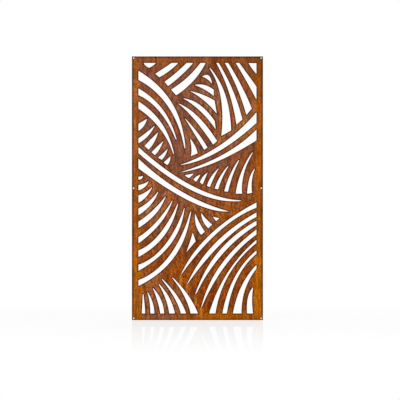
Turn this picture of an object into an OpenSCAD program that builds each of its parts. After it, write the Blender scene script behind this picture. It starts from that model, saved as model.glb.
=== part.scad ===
// Laser cut metal screen: one upright sheet of weathered steel with a plain border,
// a window of curved, tapering slots laid out in fans, and fixing holes up both sides.
// The sheet stands along X, faces -Y and rises along Z. The origin is the middle of its foot.

/* [Sheet] */
// Width of the sheet, edge to edge
panel_w = 895; // [600:5:1200]
// Height of the sheet, foot to top
panel_h = 1800; // [1200:10:2400]
// Thickness of the sheet
sheet_t = 2; // [1:0.1:6]
// Width of the plain border round the cut window
border_w = 45; // [35:1:80]

/* [Fixing holes] */
// Diameter of a fixing hole
hole_d = 9; // [4:0.5:12]
// From the sheet's edge to the centre of a hole
hole_inset = 12; // [8:0.5:20]
// Number of holes up each side
holes_per_side = 3; // [2:1:7]

/* [Slots] */
// Straight cuts that make up one curved side of a slot
cuts_per_side = 16; // [8:1:24]
// Radius at the tip of a slot
nose_r = 0.4; // [0.2:0.05:0.8]
// Length over which a slot opens from its tip to its own width
nose_l = 120; // [60:5:200]
// Metal left inside the drawn line on each side of a slot
slot_trim = 1; // [0:0.1:2]

/* [Hidden] */

steel = "#a35a2c";
window_w = panel_w - 2 * border_w;
window_h = panel_h - 2 * border_w;
hole_gap = (panel_h - 2 * hole_inset) / (holes_per_side - 1);
// From a tip the cuts grow longer: a cut ends at its share of their number, raised to this power
cut_growth = 1.4;
// The most that a side of a slot is trimmed, as a share of the slot's width there
trim_share = 0.05;

// The slots are drawn on a window of this size, from its lower left corner, and stretch with it.
drawn_w = 805;
drawn_h = 1710;
right = drawn_w;
top = drawn_h;

// A row is one slot. It starts at a tip, or at the two corners of a blunt start, and has two sides:
//   lens  [tip, tip,         bow, bow]
//   leaf  [tip, end, end,    bow, bow]
//   bar   [start, end, end, start, bow, bow]
// The first side runs from the first point to the second, the other one runs back beside it.
// A bow is how far a side swings out to the left on its way from start to end, less than 0 to the right.
// [bow, lean] puts the fullest part of the swing nearer to the start, below 0.5, or to the end, above it.

// Bars that drop from the top edge towards the left
top_bars = [
    [[73, 1677], [35, top], [119, top], 5, -3],
    [[115, 1637], [225, top], [272, top], [143, 1612], 0, -6],
    [[178, 1583], [328, top], [373, top], [202, 1552], -4, -7],
    [[222, 1529], [422, top], [459, top], [258, 1489], -13, -20],
];

// Long crescents from the left edge, bending down to the middle
crescents = [
    [[318, 1122], [0, 1657], [0, 1594], -84, [-66, 0.57]],
    [[259, 1183], [0, 1537], [0, 1490], -48, [-37, 0.62]],
    [[241, 1084], [0, 1448], [0, 1398], -49, -33],
];

// Short teeth between the crescents and the long sweep
left_teeth = [
    [[58, 1328], [0, 1295], [0, 1245], -1, 10],
    [[110, 1281], [0, 1196], [0, 1161], 1, 14],
    [[133, 1236], [41, 1144], [70, 1118], -2, 9],
    [[169, 1176], [89, 1101], [113, 1081], -2, [6, 0.62]],
    [[198, 1123], [133, 1064], [160, 1049], 1, 6],
    [[217, 1072], [172, 1031], [198, 1013], 0, 7],
];

// Two slots that sweep from the left edge across most of the window
left_sweep = [
    [[704, 770], [0, 1136], [0, 1094], [66, 0.38], [79, 0.31]],
    [[616, 697], [0, 1057], [0, 990], [46, 0.47], [51, 0.25]],
];

// Leaves in the upper middle, the fifth one down the longest
leaves = [
    [[435, 1617], [500, 1571], [32, 0.28], 5],
    [[385, 1560], [513, 1528], [514, 1484], [16, 0.45], [6, 0.6]],
    [[353, 1518], [519, 1454], [534, 1364], [8, 0.45], 12],
    [[306, 1468], [520, 1314], [527, 1257], [30, 0.37], [17, 0.46]],
    [[273, 1432], [537, 1178], [509, 1153], [29, 0.33], [13, 0.36]],
    [[315, 1335], [471, 1134], [449, 1117], 8, [0, 0.3]],
    [[352, 1194], [404, 1093], [356, 1074], 8, [7, 0.7]],
];

// Blades that fall from the top edge towards the right
blades = [
    [[484, 1678], [633, 1250], [565, 1212], [42, 0.4], [41, 0.41]],
    [[548, top], [710, 1325], [668, 1289], [531, top], 16, 20],
    [[613, top], [774, 1400], [736, 1355], [589, top], 8, 12],
    [[689, top], [right, 1550], [right, 1459], [663, top], 0, 3],
    [[751, top], [right, top], [right, 1635], 0, -3],
];

// Two slots that sweep from the right edge to the middle
right_sweep = [
    [[284, 1013], [right, 1374], [right, 1300], -44, [-45, 0.37]],
    [[284, 963], [right, 1256], [right, 1181], [-38, 0.58], [-29, 0.38]],
];

// Teeth that stand on the long left sweep
middle_teeth = [
    [[316, 943], [379, 955], [346, 925], 1, -3],
    [[422, 947], [374, 914], [393, 898], -5, 2],
    [[470, 961], [419, 896], [438, 880], -7, 1],
    [[547, 990], [467, 871], [488, 863], [-11, 0.56], -2],
    [[614, 1007], [520, 853], [544, 847], -11, -5],
    [[687, 1049], [585, 834], [612, 832], -12, -6],
    [[780, 1101], [663, 818], [708, 818], -20, [-22, 0.58]],
    [[795, 989], [741, 817], [776, 824], [-16, 0.28], -11],
];

// The fan that opens from the left edge
left_fan = [
    [[30, 939], [0, 934], [0, 913], 1, 9],
    [[69, 902], [0, 877], [0, 840], 3, 12],
    [[93, 862], [0, 807], [0, 755], [6, 0.6], 13],
    [[134, 832], [0, 717], [0, 670], [9, 0.56], [19, 0.43]],
    [[185, 799], [0, 628], [0, 583], [10, 0.6], [26, 0.42]],
    [[232, 772], [0, 522], [0, 478], [19, 0.6], [31, 0.41]],
    [[270, 753], [0, 431], [0, 385], [38, 0.68], [55, 0.5]],
    [[314, 722], [0, 333], [0, 290], [56, 0.65], [69, 0.43]],
    [[358, 701], [0, 228], [0, 187], [68, 0.64], 87],
];

// Small cuts where the fans meet
small_cuts = [
    [[387, 680], [453, 558], [427, 536], [-3, 0.6], -16],
    [[428, 685], [503, 608], [476, 581], -3, -12],
    [[508, 660], [554, 650], [528, 630], 0, 0],
    [[370, 552], [390, 493], [326, 418], 1, 2],
];

// The fan that opens from the right edge, its last slots running into the foot of the window
right_fan = [
    [[287, 259], [right, 758], [right, 721], [61, 0.41], [50, 0.63]],
    [[331, 197], [right, 690], [right, 658], [57, 0.45], [38, 0.64]],
    [[389, 129], [right, 633], [right, 602], [65, 0.48], [44, 0.55]],
    [[429, 40], [right, 574], [right, 538], [59, 0.43], [42, 0.57]],
    [[482, 0], [right, 503], [right, 480], [526, 0], 44, 54],
    [[572, 0], [right, 431], [right, 407], [604, 0], [43, 0.55], [42, 0.58]],
    [[644, 0], [right, 332], [right, 305], [704, 0], [28, 0.54], 28],
    [[783, 179], [740, 0], [783, 0], [-19, 0.3], -7],
];

// The fan that stands on the foot of the window
foot_fan = [
    [[31, 135], [22, 0], [46, 0], -1, 3],
    [[61, 146], [80, 0], [109, 0], 5, 12],
    [[98, 174], [148, 0], [176, 0], [5, 0.6], 18],
    [[137, 203], [209, 0], [249, 0], [10, 0.6], 18],
    [[158, 237], [288, 0], [326, 0], [13, 0.68], [19, 0.55]],
    [[229, 247], [355, 0], [407, 0], [15, 0.62], 18],
];

slots = concat(top_bars, crescents, left_teeth, left_sweep, leaves, blades, right_sweep,
               middle_teeth, left_fan, small_cuts, right_fan, foot_fan);

// One curved side, as a curve with a single control point
function side_point(start, end, swing, t) =
    let (bow = is_list(swing) ? swing[0] : swing)
    let (lean = is_list(swing) ? swing[1] : 0.5)
    let (way = end - start)
    let (left = [-way[1], way[0]] / norm(way))
    let (control = start + lean * way + 2 * bow * left)
    (1 - t) * (1 - t) * start + 2 * t * (1 - t) * control + t * t * end;

// A point of one side, moved away from the same point of the other side where the slot is still
// narrower than a parabola with the nose's radius
function opened(p, other, tip) =
    let (gap = norm(p - other))
    let (from_tip = norm((p + other) / 2 - tip))
    let (short = 2 * sqrt(2 * nose_r * from_tip) - gap)
    let (fade = 1 - pow(from_tip / nose_l, 2))
    gap > 0 && short > 0 && fade > 0 ? p + (p - other) * fade * short / (2 * gap) : p;

// A point of one side, moved towards the same point of the other side by the metal left
function trimmed(p, other) =
    let (gap = norm(p - other))
    gap > 0 ? p + (other - p) * min(slot_trim / gap, trim_share) : p;

// The outline of a slot: out along one side and back along the other, with no point twice
function slot_outline(slot) =
    let (corners = len(slot) - 2)
    let (end_b = corners > 2 ? slot[2] : slot[1])
    let (blunt = corners > 3)
    let (start_b = blunt ? slot[3] : slot[0])
    let (steps = [for (i = [0:cuts_per_side]) pow(i / cuts_per_side, blunt ? 1 : cut_growth)])
    let (side_a = [for (t = steps) side_point(slot[0], slot[1], slot[corners], t)])
    let (side_b = [for (t = steps) side_point(start_b, end_b, slot[corners + 1], t)])
    let (last = corners > 2 ? cuts_per_side : cuts_per_side - 1)
    let (all = [0:cuts_per_side])
    let (open_a = [for (i = all) blunt ? side_a[i] : opened(side_a[i], side_b[i], slot[0])])
    let (open_b = [for (i = all) blunt ? side_b[i] : opened(side_b[i], side_a[i], slot[0])])
    concat(
        [for (i = all) trimmed(open_a[i], open_b[i])],
        [for (i = [last:-1:blunt ? 0 : 1]) trimmed(open_b[i], open_a[i])]
    );

// From the drawn window to the sheet, whose lower left corner is the zero point
function on_sheet(p) = [border_w + p[0] * window_w / drawn_w, border_w + p[1] * window_h / drawn_h];

module slot_pattern() {
    for (slot = slots)
        polygon([for (p = slot_outline(slot)) on_sheet(p)]);
}

module fixing_holes() {
    for (x = [hole_inset, panel_w - hole_inset], i = [0:holes_per_side - 1])
        translate([x, hole_inset + i * hole_gap])
            circle(d = hole_d, $fn = 48);
}

module screen_panel() {
    color(steel)
        rotate([90, 0, 0])
            linear_extrude(height = sheet_t, center = true)
                translate([-panel_w / 2, 0])
                    difference() {
                        square([panel_w, panel_h]);
                        slot_pattern();
                        fixing_holes();
                    }
}

screen_panel();
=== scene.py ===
# %% [markdown]
# # A laser cut screen of weathered steel
# The real screen is one flat sheet of weathering steel, 2 mm thick, as tall as a person. A laser cuts 64
# tapering slots and six round fixing holes in it, and rain then gives it its coat of rust. So there is one
# piece to make, and nearly all of its looks are in two things: cuts that run true, and a rust that is never
# the same twice. The measured sheet comes in first, as a fixed frame. All is in metres: X runs along the
# width, Y through the thickness with the front at -Y, and Z up the height.

# %% Load the measured sheet
import math

import bmesh
import bpy
from mathutils import Matrix, Vector


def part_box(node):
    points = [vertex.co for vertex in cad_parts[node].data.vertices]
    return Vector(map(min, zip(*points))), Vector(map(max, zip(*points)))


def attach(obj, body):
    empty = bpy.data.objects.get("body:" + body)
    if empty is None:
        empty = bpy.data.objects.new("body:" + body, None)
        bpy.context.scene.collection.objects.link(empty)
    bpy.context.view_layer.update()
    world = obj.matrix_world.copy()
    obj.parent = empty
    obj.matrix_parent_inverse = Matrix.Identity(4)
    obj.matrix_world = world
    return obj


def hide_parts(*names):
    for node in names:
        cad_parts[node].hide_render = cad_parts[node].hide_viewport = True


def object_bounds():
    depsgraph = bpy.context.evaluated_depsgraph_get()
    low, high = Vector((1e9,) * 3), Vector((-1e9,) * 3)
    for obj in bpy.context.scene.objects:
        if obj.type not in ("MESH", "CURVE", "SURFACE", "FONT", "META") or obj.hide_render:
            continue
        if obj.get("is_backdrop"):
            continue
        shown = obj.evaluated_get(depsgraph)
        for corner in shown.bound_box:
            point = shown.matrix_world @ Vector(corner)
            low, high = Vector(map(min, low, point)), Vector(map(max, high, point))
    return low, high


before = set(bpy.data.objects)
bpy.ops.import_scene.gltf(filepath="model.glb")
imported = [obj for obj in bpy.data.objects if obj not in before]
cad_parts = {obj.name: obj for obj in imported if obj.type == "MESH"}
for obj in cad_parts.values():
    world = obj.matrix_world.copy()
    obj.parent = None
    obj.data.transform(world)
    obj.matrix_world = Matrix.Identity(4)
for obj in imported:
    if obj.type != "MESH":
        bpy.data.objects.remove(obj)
measured_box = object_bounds()
MM = 0.001  # metres
low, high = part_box("screen_panel")
width, thickness, height = high - low
print(f"sheet {width / MM:.0f} x {height / MM:.0f} x {thickness / MM:.1f} mm")

# %% [markdown]
# ## Two helpers
# Both the shape and the rust are built from nodes, so one small function adds a node, sets it and links it.
# Colours are given as the eye sees them, in sRGB, while Blender mixes light in linear values, so a second
# function turns one into the other.


# %% Add a node, and turn a colour to linear
def add(tree, kind, inputs=(), **settings):
    """Adds a node with its settings. inputs gives each socket a value, a socket or a list of sockets."""
    node = tree.nodes.new(kind)
    for name, value in settings.items():
        setattr(node, name, value)
    for name, value in dict(inputs).items():
        for source in value if isinstance(value, list) else [value]:
            if isinstance(source, bpy.types.NodeSocket):
                tree.links.new(source, node.inputs[name])
            else:
                node.inputs[name].default_value = source
    return node


def linear(colour):
    """The linear values, with an alpha of 1, of an sRGB hex colour."""
    parts = [int(colour[i : i + 2], 16) / 255 for i in (1, 3, 5)]
    return (*[c / 12.92 if c <= 0.04045 else ((c + 0.055) / 1.055) ** 2.4 for c in parts], 1.0)


# %% [markdown]
# ## The outline of the cuts
# The laser follows closed loops: the edge of the sheet, the slots and the holes. Tracing them again by hand
# would only add errors, so they are read from the measured sheet: wherever a triangle of the front face
# meets a wall of a cut, their common side is a piece of a loop. The measured mesh is loose triangles, so a
# copy of it is merged first. Each loop runs with the metal on its left.


# %% Read the loops from the front face
SAME_POINT = 0.01 * MM  # corners nearer to each other than this are one
ALONG_Y = 0.9  # a normal reaches further along Y than this on a face of the sheet, and less far on a cut


def read_loops(sheet):
    """The closed loops round the front face, each a list of points (x, z) in metres."""
    mesh = bmesh.new()
    mesh.from_mesh(sheet.data)
    bmesh.ops.remove_doubles(mesh, verts=mesh.verts, dist=SAME_POINT)
    mesh.verts.index_update()
    places = {v.index: Vector((v.co.x, v.co.z)) for v in mesh.verts}
    follows = {}
    for face in mesh.faces:
        for side in face.loops:
            beyond = side.link_loop_radial_next.face
            if face.normal.y < -ALONG_Y < beyond.normal.y:
                follows[side.vert.index] = side.link_loop_next.vert.index
    mesh.free()
    found = []
    while follows:
        here, loop = min(follows), []
        while here in follows:
            loop.append(places[here])
            here = follows.pop(here)
        found.append(loop)
    return found


loops = read_loops(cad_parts["screen_panel"])
print(len(loops), "loops,", sum(map(len, loops)), "points")

# %% [markdown]
# ## Smooth curves, small radii, round holes
# The measured curves are short straight cuts. A laser runs smoothly, so each longer cut of a curved side
# gets a point halfway along, set out by as much as the side bends there. At a sharp corner the beam leaves a
# small radius, smaller still in the thin tips, so that they keep their reach. A fixing hole is drawn as a
# circle.

# %% Sizes of the cut
CORNER_TURN = math.radians(14)  # a bend sharper than this is a corner
CORNER_RADIUS = 0.8 * MM  # radius that the beam leaves in a corner
TIP_LOSS = 2.5 * MM  # the most that a rounded tip may be shorter than the sharp one
CORNER_ROOM = 0.45  # share of the cuts beside a corner that its arc may take, so that two arcs never meet
ARC_STEP = math.radians(26)  # turn from point to point round a corner
SHORTEST_CUT = 6 * MM  # a longer cut of a curved side is halved
LONGEST_CUT = 30 * MM  # a longer straight cut is split
LARGEST_HOLE = 20 * MM  # a loop smaller than this, both ways, is a fixing hole
HOLE_POINTS = 40  # in the circle of a fixing hole


# %% Walk round a loop
def around(loop):
    """Each point of a loop with the one before it and the one after it."""
    return zip(loop[-1:] + loop[:-1], loop, loop[1:] + loop[:1])


def turn_at(before, here, after):
    """How far the way bends at a point, above 0 to the left."""
    arrives, leaves = here - before, after - here
    return math.atan2(arrives.x * leaves.y - arrives.y * leaves.x, arrives.dot(leaves))


def bend_at(before, here, after):
    """The bend of a curve at a point, as the turn for each metre of way, or None at a corner."""
    turn = turn_at(before, here, after)
    if abs(turn) > CORNER_TURN:
        return None
    return 2 * turn / ((here - before).length + (after - here).length)


def smoothed(loop):
    """The loop with points added: halfway along each curved cut, and along long straight ones."""
    bends = [bend_at(*three) for three in around(loop)]
    result = []
    for here, ahead, *ends in zip(loop, loop[1:] + loop[:1], bends, bends[1:] + bends[:1]):
        cut, known = ahead - here, [bend for bend in ends if bend is not None]
        result.append(here)
        if not known:
            parts = math.ceil(cut.length / LONGEST_CUT)
            result += [here.lerp(ahead, k / parts) for k in range(1, parts)]
        elif cut.length > SHORTEST_CUT:
            bulge = sum(known) / len(known) * cut.length / 8  # the rise of an arc, as a share of its chord
            result.append((here + ahead) / 2 + bulge * Vector((cut.y, -cut.x)))
    return result


# %% Round the corners and the holes
def rounded(loop):
    """The loop with an arc in place of each corner."""
    result = []
    for before, here, after in around(loop):
        turn = turn_at(before, here, after)
        if abs(turn) <= CORNER_TURN:
            result.append(here)
            continue
        half = (math.pi - abs(turn)) / 2
        room = CORNER_ROOM * min((here - before).length, (after - here).length) * math.tan(half)
        radius = min(CORNER_RADIUS, room, TIP_LOSS * math.sin(half) / (1 - math.sin(half)))
        arrives, leaves = (here - before).normalized(), (after - here).normalized()
        centre = here + (leaves - arrives).normalized() * radius / math.sin(half)
        start = here - arrives * radius / math.tan(half) - centre
        steps = math.ceil(abs(turn) / ARC_STEP)
        result += [centre + Matrix.Rotation(turn * k / steps, 2) @ start for k in range(steps + 1)]
    return result


def circle(loop):
    """A true circle in place of the few sides of a fixing hole, run the same way round."""
    centre = sum(loop, Vector((0, 0))) / len(loop)
    radius = max((p - centre).length for p in loop)
    turns = [-math.tau * k / HOLE_POINTS for k in range(HOLE_POINTS)]
    return [centre + radius * Vector((math.cos(a), math.sin(a))) for a in turns]


# %% Finish each loop
def spread(loop):
    """How far a loop reaches along its longer side."""
    return max(max(p[k] for p in loop) - min(p[k] for p in loop) for k in (0, 1))


widest = max(map(spread, loops))
edges = [rounded(smoothed(loop)) for loop in loops if spread(loop) == widest]
slots = [rounded(smoothed(loop)) for loop in loops if LARGEST_HOLE <= spread(loop) < widest]
holes = [circle(loop) for loop in loops if spread(loop) < LARGEST_HOLE]
print(len(edges), "edge,", len(slots), "slots,", len(holes), "holes")

# %% [markdown]
# ## A sheet that grows from its outline
# The sheet could be made by pushing the loops up and filling them, but the cut edge needs more: a tiny round
# where the face meets the cut, and a narrow band of painted shade along the cut. Every one of these is the
# same outline moved a little further into the metal, which is a rule, so Geometry Nodes follow it. First the
# outline becomes a mesh of edges only, lying flat, in which each point knows its way into the metal and its
# share of the band's width. Between a hole and the edge of the sheet there is little room, and at a corner
# of the sheet the band must stay narrower than the corner's radius, or it would fold over.

# %% The outline as a mesh of edges
SLOT_SHARE, EDGE_SHARE, HOLE_SHARE = 1.0, 0.05, 0.25  # of the band's width, along each kind of cut


def way_inward(before, here, after):
    """The way into the metal at a point, so long that both pieces beside the point move by 1."""
    first, second = (here - before).normalized(), (after - here).normalized()
    left = Vector((-first.y - second.y, first.x + second.x, 0))
    return left / (1 + first.dot(second))


points, pieces, ways, shares = [], [], [], []
for kind, share in ((edges, EDGE_SHARE), (slots, SLOT_SHARE), (holes, HOLE_SHARE)):
    for loop in kind:
        first = len(points)
        pieces += [(first + k, first + (k + 1) % len(loop)) for k in range(len(loop))]
        points += [(p.x, p.y, 0) for p in loop]
        ways += [way_inward(*three) for three in around(loop)]
        shares += [share] * len(loop)

outline = bpy.data.meshes.new("screen_outline")
outline.from_pydata(points, pieces, [])
stored = outline.attributes.new("way_inward", "FLOAT_VECTOR", "POINT")
stored.data.foreach_set("vector", [x for way in ways for x in way])
stored = outline.attributes.new("band_share", "FLOAT", "POINT")
stored.data.foreach_set("value", shares)
print(len(points), "points in the outline")

# %% [markdown]
# ## The node tree of the sheet
# The tree works on the front half of the sheet and then mirrors it, because both faces have one shape. It
# starts at the middle of the thickness and takes four steps: up the wall of the cut, twice round the arris,
# which is the corner between wall and face, and across the band. Each step extrudes the newest edges where
# they are and then moves the copies. The rest of the face is filled, and the sheet stands up with its front
# to -Y.

# %% Steps from the cut to the face
ARRIS_TURN = math.radians(45)  # the arris is rounded in two steps of this angle
# What each step takes of the arris and the band, inward, and of the half thickness and the arris, upward
STEPS = [
    {"inward": (0, 0), "up": (1, -1)},
    {"inward": (1 - math.cos(ARRIS_TURN), 0), "up": (0, math.sin(ARRIS_TURN))},
    {"inward": (math.cos(ARRIS_TURN), 0), "up": (0, 1 - math.sin(ARRIS_TURN))},
    {"inward": (0, 1), "up": (0, 0)},
]

# %% The tree, its sizes and what each point knows
cut = bpy.data.node_groups.new("cut_sheet", "GeometryNodeTree")
cut.interface.new_socket("Outline", in_out="INPUT", socket_type="NodeSocketGeometry")
for name in ("Thickness", "Arris", "Dark Band"):
    cut.interface.new_socket(name, in_out="INPUT", socket_type="NodeSocketFloat")
cut.interface.new_socket("Rust", in_out="INPUT", socket_type="NodeSocketMaterial")
cut.interface.new_socket("Sheet", in_out="OUTPUT", socket_type="NodeSocketGeometry")

given = add(cut, "NodeGroupInput").outputs
known = {"Name": "way_inward"}
way = add(cut, "GeometryNodeInputNamedAttribute", known, data_type="FLOAT_VECTOR").outputs[0]
known = {"Name": "band_share"}
share = add(cut, "GeometryNodeInputNamedAttribute", known, data_type="FLOAT").outputs[0]
band = add(cut, "ShaderNodeMath", {0: given["Dark Band"], 1: share}, operation="MULTIPLY").outputs[0]
half = add(cut, "ShaderNodeMath", {0: given["Thickness"], 1: 0.5}, operation="MULTIPLY").outputs[0]
sizes_inward = add(cut, "ShaderNodeCombineXYZ", {"X": given["Arris"], "Y": band}).outputs[0]
sizes_up = add(cut, "ShaderNodeCombineXYZ", {"X": half, "Y": given["Arris"]}).outputs[0]

# %% Grow the strips, one for each step
at_cut = {"Geometry": given["Outline"], "Name": "from_cut", "Value": 0.0}
strips = add(cut, "GeometryNodeStoreNamedAttribute", at_cut, data_type="FLOAT").outputs[0]
newest = True
for step in STEPS:
    copied = {"Mesh": strips, "Selection": newest, "Offset Scale": 0.0}
    strips, newest, _ = add(cut, "GeometryNodeExtrudeMesh", copied, mode="EDGES").outputs
    taken = {0: sizes_inward, 1: (*step["inward"], 0)}
    inward = add(cut, "ShaderNodeVectorMath", taken, operation="DOT_PRODUCT").outputs["Value"]
    taken = {0: sizes_up, 1: (*step["up"], 0)}
    up = add(cut, "ShaderNodeVectorMath", taken, operation="DOT_PRODUCT").outputs["Value"]
    lift = add(cut, "ShaderNodeCombineXYZ", {"Z": up}).outputs[0]
    move = {0: way, 1: inward, 2: lift}
    move = add(cut, "ShaderNodeVectorMath", move, operation="MULTIPLY_ADD").outputs[0]
    moved = {"Geometry": strips, "Selection": newest, "Offset": move}
    strips = add(cut, "GeometryNodeSetPosition", moved).outputs[0]
past_band = {"Geometry": strips, "Selection": newest, "Name": "from_cut", "Value": 1.0}
strips = add(cut, "GeometryNodeStoreNamedAttribute", past_band, data_type="FLOAT").outputs[0]

# %% Fill the face, mirror it and stand it up
SEAM = 0.005 * MM  # where the strips, the face and the two halves meet, points nearer than this are one
rim = add(cut, "GeometryNodeMeshToCurve", {"Mesh": strips, "Selection": newest}).outputs[0]
face = add(cut, "GeometryNodeFillCurve", {"Curve": rim}, mode="TRIANGLES").outputs[0]
lift = add(cut, "ShaderNodeCombineXYZ", {"Z": half}).outputs[0]
face = add(cut, "GeometryNodeTransform", {"Geometry": face, "Translation": lift}).outputs[0]
past_band = {"Geometry": face, "Name": "from_cut", "Value": 1.0}
face = add(cut, "GeometryNodeStoreNamedAttribute", past_band, data_type="FLOAT").outputs[0]
front = add(cut, "GeometryNodeJoinGeometry", {"Geometry": [strips, face]}).outputs[0]
back = add(cut, "GeometryNodeTransform", {"Geometry": front, "Scale": (1, 1, -1)}).outputs[0]
whole = add(cut, "GeometryNodeJoinGeometry", {"Geometry": [front, back]}).outputs[0]
whole = add(cut, "GeometryNodeMergeByDistance", {"Geometry": whole, "Distance": SEAM}).outputs[0]
upright = {"Geometry": whole, "Rotation": (math.radians(90), 0, 0)}
whole = add(cut, "GeometryNodeTransform", upright).outputs[0]
whole = add(cut, "GeometryNodeRealizeInstances", {"Geometry": whole}).outputs[0]
whole = add(cut, "GeometryNodeSetMaterial", {"Geometry": whole, "Material": given["Rust"]}).outputs[0]
add(cut, "NodeGroupOutput", {"Sheet": whole})
print(len(cut.nodes), "nodes in the sheet's tree")

# %% [markdown]
# ## Rust
# Weathering steel holds a little copper and chromium, so that its rust is dense and stays on. To the eye it
# has no shine at all. It is a warm brown ground with purple-brown patches of old oxide, orange where the
# rust is young, ochre where rain runs off last, soft streaks straight down, and a grain like suede. An image
# could hold that, but only at one scale, so layers of noise are used, each with the real size of what it
# stands for. Only the finest, the grain and the flakes, are drawn coarser than real ones, which are well
# under a millimetre, so that they show at all. They all read the sheet's own coordinates. Y is stretched, so
# that the two faces weather differently.

# %% Start the rust
rust = bpy.data.materials.new("weathering_steel_rust")
rust.use_nodes = True
oxide = rust.node_tree
oxide.nodes.clear()
here = add(oxide, "ShaderNodeTexCoord").outputs["Object"]
FACES_APART = 150  # times that Y counts, which puts the patterns of the two faces 300 mm apart


# %% A mask of natural patches
LAYERS, LAYER_STRENGTH = 3.0, 0.55  # finer layers in a noise, and how strong each is beside the last one


def patches(size, tall, start, full):
    """A mask of patches of a size, some times as tall: 0 where the noise is under start, 1 over full."""
    where = {0: here, 1: (1 / size, FACES_APART / size, 1 / (size * tall))}
    where = add(oxide, "ShaderNodeVectorMath", where, operation="MULTIPLY").outputs[0]
    fineness = {"Vector": where, "Scale": 1.0, "Detail": LAYERS, "Roughness": LAYER_STRENGTH}
    noise = add(oxide, "ShaderNodeTexNoise", fineness).outputs[0]
    limits = {"Value": noise, "From Min": start, "From Max": full}
    return add(oxide, "ShaderNodeMapRange", limits, interpolation_type="SMOOTHSTEP").outputs[0]


# %% [markdown]
# ## Where the rust differs
# Rain leaves its marks by place. The sides hang free in the rain and turn ochre, the right one most. The
# lower half stays wet longer and is more orange, with dark old rust left between, while the upper left keeps
# most of the purple oxide. Each such area is an ellipse, from its middle and half its sizes, and its border
# is ragged, because the coordinate is pushed about by noise first.

# %% An area of the sheet
STIR = 70 * MM  # size of the noise that pushes the border of an area about
RAGGED = (18 * MM, 0, 150 * MM)  # the full reach of its pushes, more up and down than sideways
AREA_START, AREA_FULL = 1.25, 0.6  # where an area starts and is full, as shares of its half sizes
stir = {"Vector": here, "Scale": 1 / STIR, "Detail": LAYERS}
stir = add(oxide, "ShaderNodeTexNoise", stir).outputs["Color"]
stir = {0: stir, 1: (0.5, 0.5, 0.5)}  # the middle of the noise, so that it pushes both ways
stir = add(oxide, "ShaderNodeVectorMath", stir, operation="SUBTRACT").outputs[0]
stir = {0: stir, 1: RAGGED, 2: here}
stirred = add(oxide, "ShaderNodeVectorMath", stir, operation="MULTIPLY_ADD").outputs[0]


def area(x, z, half_x, half_z, where=stirred):
    """A soft mask: 1 well inside the ellipse with this middle and these half sizes in mm, 0 outside."""
    shrink = Vector((1 / half_x, 0, 1 / half_z))
    inside = {0: where, 1: shrink / MM, 2: -shrink * Vector((x, 0, z))}
    inside = add(oxide, "ShaderNodeVectorMath", inside, operation="MULTIPLY_ADD").outputs[0]
    inside = add(oxide, "ShaderNodeVectorMath", {0: inside}, operation="LENGTH").outputs["Value"]
    limits = {"Value": inside, "From Min": AREA_START, "From Max": AREA_FULL}
    return add(oxide, "ShaderNodeMapRange", limits, interpolation_type="SMOOTHSTEP").outputs[0]


# %% [markdown]
# ## Coats of oxide
# The rust is laid on as it grows: a ground first, then coat after coat, each one where its patches let it
# through, and where it belongs to an area, only there.

# %% Coats, from the ground up
GROUND = "#95562E"
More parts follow.
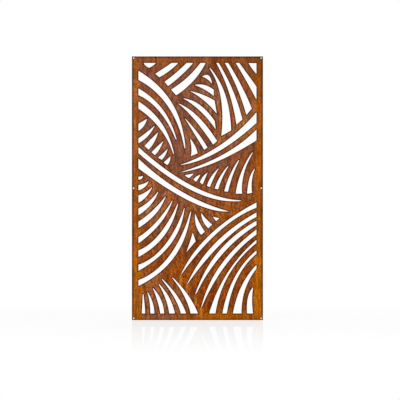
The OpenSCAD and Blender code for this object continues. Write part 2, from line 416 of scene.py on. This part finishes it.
# Each has a name, a colour, its patches (size, times as tall, start, full), its area in mm (x, z, half_x,
# half_z, or None for the whole sheet) and its strength.
COATS = [
    # the broad coats of the window
    ("wet lower half", "#984914", (60 * MM, 1.5, 0.20, 0.50), (0, 60, 2000, 800), 0.92),
    ("purple oxide", "#875942", (60 * MM, 1.5, 0.25, 0.50), (-140, 1320, 400, 640), 0.90),
    ("purple oxide left", "#A6683F", (50 * MM, 1.5, 0.20, 0.45), (-240, 790, 240, 220), 0.90),
    ("pale oxide right", "#A86A3E", (50 * MM, 1.5, 0.15, 0.45), (210, 1370, 190, 190), 0.85),
    ("warm middle", "#A86630", (50 * MM, 1.5, 0.15, 0.45), (20, 670, 170, 130), 0.80),
    ("purple patches", "#7A5042", (44 * MM, 1.6, 0.48, 0.60), (-140, 1200, 560, 760), 0.72),
    ("orange patches", "#AE5418", (44 * MM, 1.8, 0.50, 0.62), None, 0.60),
    # darker and paler places in it
    ("dark old rust", "#703214", (40 * MM, 1.5, 0.30, 0.50), (10, 440, 130, 110), 0.65),
    ("dark rust right", "#7A3A1C", (30 * MM, 1.5, 0.20, 0.45), (300, 520, 80, 90), 0.60),
    ("dark head right", "#7A4226", (30 * MM, 1.5, 0.20, 0.45), (190, 1670, 110, 120), 0.65),
    ("dark head left", "#7A4226", (30 * MM, 1.5, 0.20, 0.45), (-400, 1750, 90, 70), 0.60),
    ("pale head", "#B67C4E", (40 * MM, 1.5, 0.15, 0.45), (90, 1510, 70, 80), 0.75),
    ("pale heart", "#A86C42", (40 * MM, 1.5, 0.15, 0.45), (-50, 1270, 90, 70), 0.70),
    ("orange heart", "#B06C3A", (40 * MM, 1.5, 0.15, 0.45), (150, 900, 90, 60), 0.60),
    ("orange right top", "#BC7432", (40 * MM, 1.5, 0.15, 0.45), (315, 1320, 70, 120), 0.70),
    ("pale left", "#BC7C52", (40 * MM, 1.5, 0.15, 0.45), (-310, 790, 70, 70), 0.60),
    ("warm left foot", "#B6743C", (40 * MM, 1.5, 0.15, 0.45), (-300, 290, 70, 70), 0.60),
    ("warm left", "#A86636", (40 * MM, 1.5, 0.15, 0.45), (-97, 600, 60, 110), 0.60),
    ("orange fans", "#B4661E", (40 * MM, 1.5, 0.20, 0.45), (150, 300, 90, 60), 0.60),
    ("orange middle", "#B05C18", (24 * MM, 4.0, 0.30, 0.50), (-100, 300, 90, 120), 0.65),
    ("orange right", "#B0621C", (40 * MM, 1.5, 0.20, 0.45), (250, 690, 130, 110), 0.70),
    ("red middle", "#94400E", (30 * MM, 1.5, 0.20, 0.45), (90, 160, 130, 130), 0.70),
    ("grey fan", "#AA6C48", (40 * MM, 1.5, 0.15, 0.45), (-240, 100, 170, 150), 0.90),
    # streaks and blotches
    ("purple streaks", "#6E4640", (17 * MM, 3.0, 0.50, 0.62), (-140, 1200, 560, 760), 0.55),
    ("red streaks", "#964726", (15 * MM, 4.0, 0.50, 0.62), (0, 1500, 9000, 700), 0.50),
    ("orange streaks", "#B66018", (15 * MM, 4.0, 0.50, 0.62), (0, 200, 9000, 900), 0.34),
    ("brown streaks", "#5E320C", (14 * MM, 4.0, 0.52, 0.64), None, 0.45),
    ("dark blotches", "#6C2A0E", (17 * MM, 1.3, 0.50, 0.62), (0, 300, 9000, 760), 0.60),
    ("gold blotches", "#B86A16", (15 * MM, 2.0, 0.52, 0.64), (0, 300, 9000, 760), 0.45),
    # the border, where rain hangs and runs off
    ("brown head", "#92501E", (20 * MM, 4.0, 0.15, 0.40), (0, 1790, 520, 60), 0.80),
    ("red head right", "#7C3C12", (20 * MM, 4.0, 0.15, 0.40), (165, 1780, 90, 70), 0.60),
    ("dark head middle", "#7C441A", (20 * MM, 4.0, 0.15, 0.40), (-95, 1770, 60, 70), 0.55),
    ("ochre right", "#A8580C", (20 * MM, 3.0, 0.15, 0.40), (440, 900, 46, 9000), 0.92),
    ("ochre right foot", "#BA680A", (20 * MM, 3.0, 0.15, 0.40), (440, 220, 70, 280), 0.85),
    ("brown right top", "#904810", (20 * MM, 3.0, 0.15, 0.40), (440, 1660, 60, 180), 0.85),
    ("ochre left", "#AA5C16", (20 * MM, 3.0, 0.20, 0.45), (-440, 600, 60, 700), 0.85),
    ("ochre left foot", "#BA6A14", (20 * MM, 3.0, 0.20, 0.45), (-440, 180, 70, 260), 0.88),
    ("ochre left top", "#A05C22", (20 * MM, 3.0, 0.20, 0.45), (-440, 1500, 56, 500), 0.80),
    ("ochre foot", "#B26210", (30 * MM, 1.0, 0.20, 0.45), (240, 10, 380, 70), 0.85),
]
print(len(COATS), "coats of oxide")

# %% Lay the coats on
colour = linear(GROUND)
for name, tint, natural, place, strength in COATS:
    amount = {0: patches(*natural), 1: strength}
    amount = add(oxide, "ShaderNodeMath", amount, operation="MULTIPLY").outputs[0]
    if place:
        amount = add(oxide, "ShaderNodeMath", {0: amount, 1: area(*place)}, operation="MULTIPLY").outputs[0]
    laid = {0: amount, 6: colour, 7: linear(tint)}
    colour = add(oxide, "ShaderNodeMix", laid, data_type="RGBA", label=name).outputs[2]
print(len(oxide.nodes), "nodes so far")

# %% [markdown]
# ## Golden runs
# Rain leaves a slot at its lowest tip. Low on the sheet, where enough of it has gathered, it paints a golden
# run straight down from there. The tips are found in the loops: the lowest point of a long slot, where it is
# a sharp corner that points steeply down. A run has to start at its tip, so its area is read from the plain
# coordinates and isn't pushed about.

# %% Find the tips that drip
DRIP_TURN = math.radians(135)  # the least turn of the outline at such a tip
DRIP_STEEP = 0.75  # the least rise of the slot from its tip, as a share of the way
DRIP_SPREAD = 290 * MM  # the shortest slot that drips
DRIP_TOP = 1000 * MM  # height from which no run is left


def dripping_tip(loop):
    """The lowest point of a loop if rain leaves a run under it, or None."""
    before, lowest, after = min(around(loop), key=lambda three: three[1].y)
    rise = (before + after) / 2 - lowest
    long_and_low = spread(loop) > DRIP_SPREAD and lowest.y < DRIP_TOP
    sharp = abs(turn_at(before, lowest, after)) > DRIP_TURN
    return lowest if long_and_low and sharp and rise.y > DRIP_STEEP * rise.length else None


tips = [dripping_tip(loop) for loop in loops if LARGEST_HOLE < spread(loop) < widest]
tips = [tip for tip in tips if tip is not None]
print(len(tips), "dripping tips at x, z in mm:", [[round(c / MM) for c in tip] for tip in tips])

# %% Lay a run under each tip
GOLD = "#D07A2C"
RUN_X, RUN_Z, RUN_DROP = 9, 50, 36  # half of a run's width and length, and its middle under the tip, in mm
RUN_PATCHES = (20 * MM, 2.0, 0.20, 0.50)  # size, times as tall, start and full, where the gold lies thick
runs = 0.0
for tip in tips:
    run = area(tip.x / MM, tip.y / MM - RUN_DROP, RUN_X, RUN_Z, where=here)
    wetter = 1 - (tip.y / DRIP_TOP) ** 2  # the lower it hangs, the more rain it gets
    run = add(oxide, "ShaderNodeMath", {0: run, 1: wetter}, operation="MULTIPLY").outputs[0]
    runs = add(oxide, "ShaderNodeMath", {0: runs, 1: run}, operation="MAXIMUM").outputs[0]
runs = {0: runs, 1: patches(*RUN_PATCHES)}
runs = add(oxide, "ShaderNodeMath", runs, operation="MULTIPLY").outputs[0]
laid = {0: runs, 6: colour, 7: linear(GOLD)}
colour = add(oxide, "ShaderNodeMix", laid, data_type="RGBA", label="golden runs").outputs[2]

# %% [markdown]
# ## Light and dark in the rust
# No patch of real rust is one tone. Clouds of wear, runs of rain, and ever finer spots and grain make it
# lighter and darker in the same hue. To paint them all in would take a coat for every shade, so here one
# noise after another scales the brightness alone.

# %% Clouds, runs, mottle, speckle and grain
SHADES = [  # name, patches (size, times as tall, start, full), darkest, lightest
    ("clouds", (60 * MM, 1.5, 0.35, 0.65), 0.89, 1.09),
    ("runs", (13 * MM, 7.0, 0.34, 0.66), 0.74, 1.24),
    ("mottle", (9 * MM, 1.6, 0.32, 0.68), 0.76, 1.24),
    ("speckle", (5 * MM, 1.2, 0.30, 0.70), 0.56, 1.42),
    ("grain", (1.6 * MM, 1.0, 0.30, 0.70), 0.76, 1.20),
]
for name, natural, darkest, lightest in SHADES:
    limits = {"Value": patches(*natural), "To Min": darkest, "To Max": lightest}
    shade = add(oxide, "ShaderNodeMapRange", limits).outputs[0]
    colour = add(oxide, "ShaderNodeHueSaturation", {"Value": shade, "Color": colour}, label=name).outputs[0]
print(len(SHADES), "noises of light and dark")

# %% [markdown]
# ## The dark rim
# Along the edge of the whole sheet the rust is painted darker, as painted shade, as far in as the holes.
# This rim is narrower at the head and narrowest at the foot. The nearest edge follows from the coordinates
# alone.

# %% Darken towards the edge of the sheet
RIM, RIM_START, RIM_SHADE = 18 * MM, 5 * MM, 0.36  # where it ends, where it is darkest, and how dark
HEAD_STEEPER, FOOT_STEEPER = 1.25, 1.5  # how many times narrower it is at the head and at the foot
x, _, z = add(oxide, "ShaderNodeSeparateXYZ", {"Vector": here}).outputs
side = add(oxide, "ShaderNodeMath", {0: x}, operation="ABSOLUTE").outputs[0]
side = add(oxide, "ShaderNodeMath", {0: width / 2, 1: side}, operation="SUBTRACT").outputs[0]
head = add(oxide, "ShaderNodeMath", {0: height, 1: z}, operation="SUBTRACT").outputs[0]
head = add(oxide, "ShaderNodeMath", {0: head, 1: HEAD_STEEPER}, operation="MULTIPLY").outputs[0]
foot = add(oxide, "ShaderNodeMath", {0: z, 1: FOOT_STEEPER}, operation="MULTIPLY").outputs[0]
nearest = add(oxide, "ShaderNodeMath", {0: head, 1: foot}, operation="MINIMUM").outputs[0]
nearest = add(oxide, "ShaderNodeMath", {0: side, 1: nearest}, operation="MINIMUM").outputs[0]
# the rim is painted shade: the brightness is scaled down towards the edge of the sheet
limits = {"Value": nearest, "From Min": RIM_START, "From Max": RIM, "To Min": RIM_SHADE}
shade = add(oxide, "ShaderNodeMapRange", limits).outputs[0]
colour = add(oxide, "ShaderNodeHueSaturation", {"Value": shade, "Color": colour}, label="rim").outputs[0]

# %% [markdown]
# ## The band along the cuts
# Every cut gets a band of painted shade, deep brown, that follows the pattern. Right at the cut the painted
# shade turns a fresher orange-brown. The sheet's mesh carries the distance from the cut as an attribute,
# from
# 0 at the cut to 1 past the band, and noise makes it uneven. Where a golden run lies, the band is left out,
# so the run shows from its tip.

# %% Darken towards the cuts
# painted shade along every cut: deep brown in the band, orange-brown right at the cut
BANDS = [  # name, colour, where in the band it starts and is full, strength
    ("deep brown band", "#3E1E06", 1.0, 0.92, 0.95),
    ("rubbed edge", "#8A3E14", 0.56, 0.23, 0.95),
]
BAND_SPOTS = (9 * MM, 1.0, 0.25, 0.75)  # size, times as tall, start and full of the noise
BAND_UNEVEN = 0.2  # the most of the band's width that the noise adds to the distance
from_cut = add(oxide, "ShaderNodeAttribute", attribute_name="from_cut").outputs["Fac"]
uneven = {0: patches(*BAND_SPOTS), 1: BAND_UNEVEN, 2: from_cut}
uneven = add(oxide, "ShaderNodeMath", uneven, operation="MULTIPLY_ADD").outputs[0]
outside_runs = add(oxide, "ShaderNodeMath", {0: 1.0, 1: runs}, operation="SUBTRACT").outputs[0]
for name, tint, start, full, strength in BANDS:
    limits = {"Value": uneven, "From Min": start, "From Max": full, "To Max": strength}
    near = add(oxide, "ShaderNodeMapRange", limits, interpolation_type="SMOOTHSTEP").outputs[0]
    # the painted shade is left out under a golden run
    near = add(oxide, "ShaderNodeMath", {0: near, 1: outside_runs}, operation="MULTIPLY").outputs[0]
    laid = {0: near, 6: colour, 7: linear(tint)}
    colour = add(oxide, "ShaderNodeMix", laid, data_type="RGBA", label=name).outputs[2]
print(len(BANDS), "colours along the cuts")

# %% [markdown]
# ## Relief and dullness
# Close to, the rust is a crust of small flakes with pits between them. Both are far too shallow to change
# the outline of the sheet, so they are bump, which only tilts the light. The crust is dull all over, a
# little more so where the flakes stand high, and has next to no gloss.

# %% The relief
FLAKES, PITS = 4 * MM, 6 * MM  # the size of a flake, and the way from one pit to the next
FLAKE_LAYERS, FLAKE_STRENGTH = 4.0, 0.7  # finer layers, more of them and stronger than in the patches
PIT_REACH, PIT_DEPTH = 0.35, 0.3  # half a pit's width as a share of that way, and its depth beside a flake's
RELIEF, RELIEF_SHARE = 0.25 * MM, 0.6  # height of the whole relief, and how much of it tilts the light
crust = {"Vector": here, "Scale": 1 / FLAKES, "Detail": FLAKE_LAYERS, "Roughness": FLAKE_STRENGTH}
flakes = add(oxide, "ShaderNodeTexNoise", crust).outputs[0]
pits = {"Vector": here, "Scale": 1 / PITS}
pits = add(oxide, "ShaderNodeTexVoronoi", pits, feature="SMOOTH_F1").outputs[0]
pits = add(oxide, "ShaderNodeMapRange", {"Value": pits, "From Max": PIT_REACH}).outputs[0]
relief = {0: pits, 1: PIT_DEPTH, 2: flakes}
relief = add(oxide, "ShaderNodeMath", relief, operation="MULTIPLY_ADD").outputs[0]
relief = {"Strength": RELIEF_SHARE, "Distance": RELIEF, "Height": relief}
bump = add(oxide, "ShaderNodeBump", relief).outputs[0]

# %% The dull surface
DULLEST, LEAST_DULL, GLOSS = 0.98, 0.78, 0.02  # roughness on and between the flakes, and the share of gloss
dull = {"Value": flakes, "To Min": LEAST_DULL, "To Max": DULLEST}
dull = add(oxide, "ShaderNodeMapRange", dull).outputs[0]
finish = {"Base Color": colour, "Roughness": dull, "Normal": bump, "Specular IOR Level": GLOSS}
surface = add(oxide, "ShaderNodeBsdfPrincipled", finish).outputs[0]
add(oxide, "ShaderNodeOutputMaterial", {"Surface": surface})
print(len(oxide.nodes), "nodes in the rust")

# %% [markdown]
# ## Run the tree and keep the plain mesh
# The modifier gets its sizes and grows the sheet. The result is kept as a plain mesh and the grower goes.
# Mirroring turned half of the faces inside out, so the closed shell has its normals recalculated once.

# %% Grow the sheet
ARRIS = 0.25 * MM  # radius between a face and a cut
DARK_BAND = 8.0 * MM  # width of the band of painted shade along a slot, under half of the narrowest strip of metal

grower = bpy.data.objects.new("outline_grower", outline)
bpy.context.scene.collection.objects.link(grower)
modifier = grower.modifiers.new("cut_sheet", "NODES")
modifier.node_group = cut
sizes = {"Thickness": thickness, "Arris": ARRIS, "Dark Band": DARK_BAND, "Rust": rust}
for socket in cut.interface.items_tree:
    if socket.name in sizes:
        modifier[socket.identifier] = sizes[socket.name]
grown = grower.evaluated_get(bpy.context.evaluated_depsgraph_get())
sheet = bpy.data.meshes.new_from_object(grown)
sheet.name = "rusted_screen"
bpy.data.objects.remove(grower)

# %% Turn the faces out and look the shell over
SHARP = math.radians(30)  # a turn between two faces above this catches the light as an edge
shell = bmesh.new()
shell.from_mesh(sheet)
bmesh.ops.recalc_face_normals(shell, faces=shell.faces)
gaps = sum(not side.is_manifold for side in shell.edges)
print(len(shell.faces), "faces,", gaps, "gaps,", round(shell.calc_volume() / (10 * MM) ** 3), "cm3 of steel")
shell.to_mesh(sheet)
shell.free()
sheet.shade_smooth()
sheet.set_sharp_from_angle(angle=SHARP)

# %% Put the sheet in the place of the measured one
screen = bpy.data.objects.new("rusted_screen", sheet)
bpy.context.scene.collection.objects.link(screen)
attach(screen, "root")
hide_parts("screen_panel")

# %% [markdown]
# ## Camera
# The picture is 400 pixels square and looks at the sheet square on, so the camera's place follows from where
# the sheet's edges are in the picture: the distance from its width in pixels, the rest from the middle.

# %% Camera
PICTURE = 400  # pixels each way
LEFT_PX, RIGHT_PX, TOP_PX, FOOT_PX = 131.9, 263.0, 56.4, 320.0  # edges of the sheet in the picture
LENS, SENSOR = 100.0, 36.0  # mm
metres_per_px = width / (RIGHT_PX - LEFT_PX)
distance = PICTURE * metres_per_px * LENS / SENSOR
camera_x = (PICTURE / 2 - (LEFT_PX + RIGHT_PX) / 2) * metres_per_px
camera_z = (FOOT_PX - PICTURE / 2) * height / (FOOT_PX - TOP_PX)

camera = bpy.data.objects.new("camera", bpy.data.cameras.new("camera"))
camera.data.lens, camera.data.sensor_width = LENS, SENSOR
camera.location = (camera_x, low.y - distance, camera_z)
camera.rotation_euler = (math.radians(90), 0, 0)
bpy.context.scene.collection.objects.link(camera)
bpy.context.scene.camera = camera
print(f"camera {distance:.2f} m away, {camera_z:.2f} m up")

# %% [markdown]
# ## Light and a white room
# Dull rust needs soft light, or it looks like a flat print of itself. One large lamp from the upper left
# brings out the grain, a weaker one fills in from the right, one lights the back, and a pale sky does the
# rest. What the camera sees behind the sheet is pure white, by the kind of ray, and not by more light. The
# floor needs the same mask, so a function makes it.

# %% Lamps
LAMPS = [  # name, place, size in metres, power in watts
    ("key", (-2.6, -3.4, 3.2), 2.4, 120.0),
    ("fill", (3.2, -3.6, 1.6), 2.6, 46.0),
    ("back", (1.6, 3.6, 2.8), 2.4, 110.0),
]
for name, spot, side, power in LAMPS:
    lamp = bpy.data.objects.new(name, bpy.data.lights.new(name, "AREA"))
    lamp.data.energy, lamp.data.size = power, side
    lamp.location = spot
    lamp.rotation_euler = (Vector((0, 0, height / 2)) - lamp.location).to_track_quat("-Z", "Y").to_euler()
    bpy.context.scene.collection.objects.link(lamp)
print(len(LAMPS), "lamps")


# %% A mask of the rays that look
def looking(tree):
    """1 for a ray from the camera, a mirror or a glass, which looks at things, and 0 for one of light."""
    rays = add(tree, "ShaderNodeLightPath").outputs
    looks = {0: rays["Is Camera Ray"], 1: rays["Is Glossy Ray"]}
    looks = add(tree, "ShaderNodeMath", looks, operation="MAXIMUM").outputs[0]
    looks = {0: looks, 1: rays["Is Transmission Ray"]}
    return add(tree, "ShaderNodeMath", looks, operation="MAXIMUM").outputs[0]


# %% World
WHITE = (1, 1, 1, 1)
SKY_COLOUR, SKY_STRENGTH = (0.95, 0.97, 1.0, 1.0), 0.38  # linear values of the pale light all round
world = bpy.data.worlds.new("pale_room")
world.use_nodes = True
sky = world.node_tree
sky.nodes.clear()
lights = add(sky, "ShaderNodeBackground", {"Color": SKY_COLOUR, "Strength": SKY_STRENGTH}).outputs[0]
white = add(sky, "ShaderNodeBackground", {"Color": WHITE, "Strength": 1.0}).outputs[0]
seen = add(sky, "ShaderNodeMixShader", {0: looking(sky), 1: lights, 2: white}).outputs[0]
add(sky, "ShaderNodeOutputWorld", {"Surface": seen})
bpy.context.scene.world = world
print(len(sky.nodes), "nodes in the sky")

# %% [markdown]
# ## The floor
# The sheet stands on a pale floor with a thin coat of varnish. It is white to the eye, a little less so near
# the sheet, where it keeps its soft shadow, and it mirrors the sheet faintly. A real varnish isn't quite
# smooth and blurs what stands further away, so here the mirror fades out with the distance from the sheet.

# %% A floor plane
FLOOR_REACH = 15.0  # metres, each way from the sheet
floor_mesh = bpy.data.meshes.new("pale_floor")
corners = [(x * FLOOR_REACH, y * FLOOR_REACH, 0) for x, y in ((-1, -1), (1, -1), (1, 1), (-1, 1))]
floor_mesh.from_pydata(corners, [], [(0, 1, 2, 3)])
floor = bpy.data.objects.new("pale_floor", floor_mesh)
bpy.context.scene.collection.objects.link(floor)
floor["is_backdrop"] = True
print(f"floor {2 * FLOOR_REACH:.0f} m each way")

# %% Its varnish
WHITE_NEAR, WHITE_FROM = 0.88, 1.5  # share of white at the sheet, and metres away where it is all white
varnish = bpy.data.materials.new("pale_polished_floor")
varnish.use_nodes = True
paint = varnish.node_tree
paint.nodes.clear()
spot = add(paint, "ShaderNodeTexCoord").outputs["Object"]
_, away, _ = add(paint, "ShaderNodeSeparateXYZ", {"Vector": spot}).outputs
away = add(paint, "ShaderNodeMath", {0: away}, operation="ABSOLUTE").outputs[0]

whiter = {"Value": away, "From Max": WHITE_FROM, "To Min": WHITE_NEAR, "To Max": 1.0}
whiter = add(paint, "ShaderNodeMapRange", whiter, interpolation_type="SMOOTHSTEP").outputs[0]
whiter = add(paint, "ShaderNodeMath", {0: looking(paint), 1: whiter}, operation="MULTIPLY").outputs[0]
matt = add(paint, "ShaderNodeBsdfDiffuse", {"Color": linear("#F4F4F2")}).outputs[0]
glow = add(paint, "ShaderNodeEmission", {"Color": WHITE, "Strength": 1.0}).outputs[0]
pale = add(paint, "ShaderNodeMixShader", {0: whiter, 1: matt, 2: glow}).outputs[0]

# %% Its faint mirror
MIRROR_NEAR, MIRROR_END = 0.14, 1.7  # share of mirror at the sheet, and metres away where it is gone
MIRROR_BLUR = 0.04  # its roughness
mirror = add(paint, "ShaderNodeBsdfAnisotropic", {"Color": WHITE, "Roughness": MIRROR_BLUR}).outputs[0]
fade = {"Value": away, "From Max": MIRROR_END, "To Min": MIRROR_NEAR, "To Max": 0.0}
fade = add(paint, "ShaderNodeMapRange", fade).outputs[0]
from_camera = add(paint, "ShaderNodeLightPath").outputs["Is Camera Ray"]
polish = add(paint, "ShaderNodeMath", {0: from_camera, 1: fade}, operation="MULTIPLY").outputs[0]
both = add(paint, "ShaderNodeMixShader", {0: polish, 1: pale, 2: mirror}).outputs[0]
add(paint, "ShaderNodeOutputMaterial", {"Surface": both})
floor.data.materials.append(varnish)
print(len(paint.nodes), "nodes in the floor's varnish")

# %% [markdown]
# ## The last measure
# The grown sheet has to keep the measured sheet's box, so both boxes are printed.

# %% Measure and finish
bpy.context.scene.view_settings.view_transform = "Standard"
sizes = {"measured": [list(c) for c in measured_box], "visual": [list(c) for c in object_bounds()]}
print(sizes)
